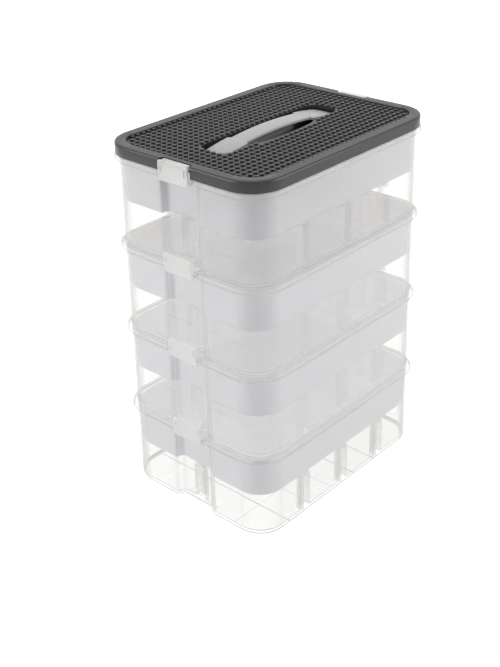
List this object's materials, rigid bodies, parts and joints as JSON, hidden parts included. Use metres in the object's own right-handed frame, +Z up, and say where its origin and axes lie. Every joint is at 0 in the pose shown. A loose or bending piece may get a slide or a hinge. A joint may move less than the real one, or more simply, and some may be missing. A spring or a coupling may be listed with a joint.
{
  "type": "toy brick storage box",
  "caption": "Stacking storage box for toy bricks: clear clip-together boxes with loose trays, a dark lid with a studded field and an arched carrying strap.",
  "frame": {"origin": "middle of the footprint, on the surface that the bottom box stands on", "axes": "+Z up, +Y along the long sides, the latches on the short sides facing -Y and +Y, +X along the short sides"},
  "size_m": [0.225, 0.305, 0.425],
  "materials": {
    "clear_box": "clear, glossy",
    "tray_plastic": "milky, satin",
    "latch_plastic": "white, satin",
    "lid_plastic": "dark grey, satin",
    "handle_plastic": "light grey, satin"
  },
  "bodies": {
    "bottom_box": {"bottom_box": "clear_box"},
    "bottom_tray": {"bottom_tray": "tray_plastic"},
    "front_bottom_latch": {"front_bottom_latch": "latch_plastic"},
    "rear_bottom_latch": {"rear_bottom_latch": "latch_plastic"},
    "lower_middle_box": {"lower_middle_box": "clear_box"},
    "lower_middle_tray": {"lower_middle_tray": "tray_plastic"},
    "front_lower_middle_latch": {"front_lower_middle_latch": "latch_plastic"},
    "rear_lower_middle_latch": {"rear_lower_middle_latch": "latch_plastic"},
    "upper_middle_box": {"upper_middle_box": "clear_box"},
    "upper_middle_tray": {"upper_middle_tray": "tray_plastic"},
    "front_upper_middle_latch": {"front_upper_middle_latch": "latch_plastic"},
    "rear_upper_middle_latch": {"rear_upper_middle_latch": "latch_plastic"},
    "top_box": {"top_box": "clear_box"},
    "top_tray": {"top_tray": "tray_plastic"},
    "front_top_latch": {"front_top_latch": "latch_plastic"},
    "rear_top_latch": {"rear_top_latch": "latch_plastic"},
    "lid": {"lid": "lid_plastic"},
    "carry_handle": {"carry_handle": "handle_plastic"}
  },
  "joints": [
    {"name": "lower_middle_box_lift", "type": "slide", "parent": "bottom_box", "child": "lower_middle_box", "axis": [0, 0, 1], "range_m": [0, 0.075]},
    {"name": "front_bottom_latch_hinge", "type": "hinge", "parent": "bottom_box", "child": "front_bottom_latch", "pos_m": [0, -0.1492, 0.1014], "axis": [1, 0, 0], "range_deg": [0, 150]},
    {"name": "rear_bottom_latch_hinge", "type": "hinge", "parent": "bottom_box", "child": "rear_bottom_latch", "pos_m": [0, 0.1492, 0.1014], "axis": [-1, 0, 0], "range_deg": [0, 150]},
    {"name": "bottom_tray_slide", "type": "slide", "parent": "bottom_box", "child": "bottom_tray", "axis": [0, 0, 1], "range_m": [0, 0.045]},
    {"name": "upper_middle_box_lift", "type": "slide", "parent": "lower_middle_box", "child": "upper_middle_box", "axis": [0, 0, 1], "range_m": [0, 0.075]},
    {"name": "front_lower_middle_latch_hinge", "type": "hinge", "parent": "lower_middle_box", "child": "front_lower_middle_latch", "pos_m": [0, -0.1492, 0.2038], "axis": [1, 0, 0], "range_deg": [0, 150]},
    {"name": "rear_lower_middle_latch_hinge", "type": "hinge", "parent": "lower_middle_box", "child": "rear_lower_middle_latch", "pos_m": [0, 0.1492, 0.2038], "axis": [-1, 0, 0], "range_deg": [0, 150]},
    {"name": "lower_middle_tray_slide", "type": "slide", "parent": "lower_middle_box", "child": "lower_middle_tray", "axis": [0, 0, 1], "range_m": [0, 0.045]},
    {"name": "top_box_lift", "type": "slide", "parent": "upper_middle_box", "child": "top_box", "axis": [0, 0, 1], "range_m": [0, 0.075]},
    {"name": "front_upper_middle_latch_hinge", "type": "hinge", "parent": "upper_middle_box", "child": "front_upper_middle_latch", "pos_m": [0, -0.1492, 0.3062], "axis": [1, 0, 0], "range_deg": [0, 150]},
    {"name": "rear_upper_middle_latch_hinge", "type": "hinge", "parent": "upper_middle_box", "child": "rear_upper_middle_latch", "pos_m": [0, 0.1492, 0.3062], "axis": [-1, 0, 0], "range_deg": [0, 150]},
    {"name": "upper_middle_tray_slide", "type": "slide", "parent": "upper_middle_box", "child": "upper_middle_tray", "axis": [0, 0, 1], "range_m": [0, 0.045]},
    {"name": "lid_lift", "type": "slide", "parent": "top_box", "child": "lid", "axis": [0, 0, 1], "range_m": [0, 0.075]},
    {"name": "front_top_latch_hinge", "type": "hinge", "parent": "top_box", "child": "front_top_latch", "pos_m": [0, -0.1492, 0.4086], "axis": [1, 0, 0], "range_deg": [0, 150]},
    {"name": "rear_top_latch_hinge", "type": "hinge", "parent": "top_box", "child": "rear_top_latch", "pos_m": [0, 0.1492, 0.4086], "axis": [-1, 0, 0], "range_deg": [0, 150]},
    {"name": "top_tray_slide", "type": "slide", "parent": "top_box", "child": "top_tray", "axis": [0, 0, 1], "range_m": [0, 0.045]},
    {"name": "handle_rise", "type": "slide", "parent": "lid", "child": "carry_handle", "axis": [0, 0, 1], "range_m": [0, 0.008]}
  ],
  "couplings": [
    {"joint": "front_bottom_latch_hinge", "follows": "lower_middle_box_lift", "rad_per_m": 34.9},
    {"joint": "rear_bottom_latch_hinge", "follows": "lower_middle_box_lift", "rad_per_m": 34.9},
    {"joint": "bottom_tray_slide", "follows": "lower_middle_box_lift", "ratio": 0.6},
    {"joint": "front_lower_middle_latch_hinge", "follows": "upper_middle_box_lift", "rad_per_m": 34.9},
    {"joint": "rear_lower_middle_latch_hinge", "follows": "upper_middle_box_lift", "rad_per_m": 34.9},
    {"joint": "lower_middle_tray_slide", "follows": "upper_middle_box_lift", "ratio": 0.6},
    {"joint": "front_upper_middle_latch_hinge", "follows": "top_box_lift", "rad_per_m": 34.9},
    {"joint": "rear_upper_middle_latch_hinge", "follows": "top_box_lift", "rad_per_m": 34.9},
    {"joint": "upper_middle_tray_slide", "follows": "top_box_lift", "ratio": 0.6},
    {"joint": "front_top_latch_hinge", "follows": "lid_lift", "rad_per_m": 34.9},
    {"joint": "rear_top_latch_hinge", "follows": "lid_lift", "rad_per_m": 34.9},
    {"joint": "top_tray_slide", "follows": "lid_lift", "ratio": 0.6}
  ]
}
